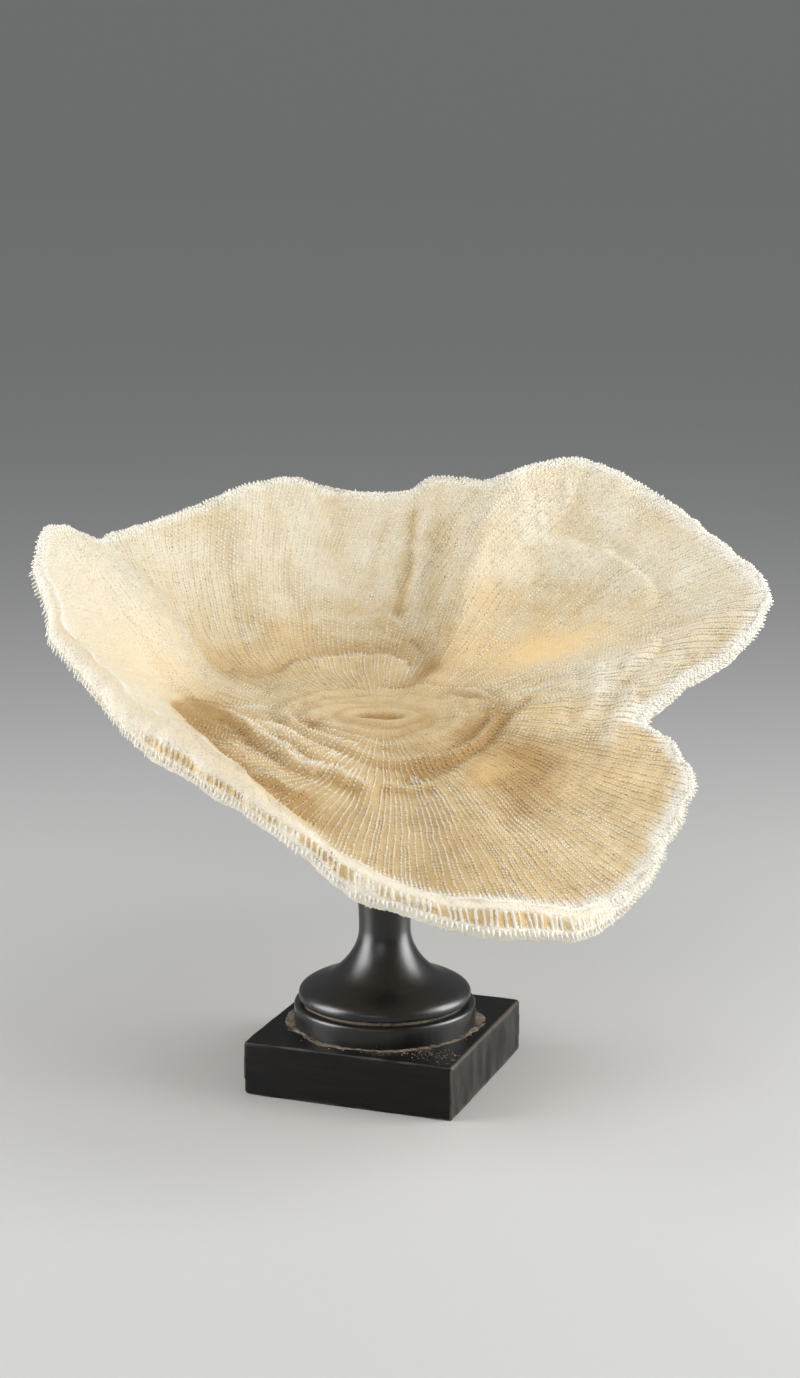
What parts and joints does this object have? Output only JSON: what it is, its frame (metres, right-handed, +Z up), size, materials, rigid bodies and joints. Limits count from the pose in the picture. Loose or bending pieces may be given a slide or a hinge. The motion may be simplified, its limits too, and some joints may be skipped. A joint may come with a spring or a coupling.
{
  "type": "cup coral on a turned stand",
  "caption": "Wide cup-shaped plate coral with a wavy, frilled rim and a rolled lip, on a short turned dark wooden pedestal with a square plinth.",
  "frame": {"origin": "centre of the plinth's flat underside, on the surface that it stands on", "axes": "+Z is up along the pedestal's axis; +X and +Y run along the plinth's sides; the picture looks along +Y turned 20 degrees towards -X"},
  "size_m": [0.302, 0.2907, 0.27],
  "materials": {
    "coral_skeleton": "dry, matt, cream to tan, near white at the rim",
    "ebonised_wood": "satin black polish",
    "plinth_wood": "worn satin black polish",
    "pin_metal": "plain"
  },
  "bodies": {
    "root": {"coral": "coral_skeleton", "pedestal": "ebonised_wood", "plinth": "plinth_wood", "mounting_pin": "pin_metal"}
  },
  "joints": []
}
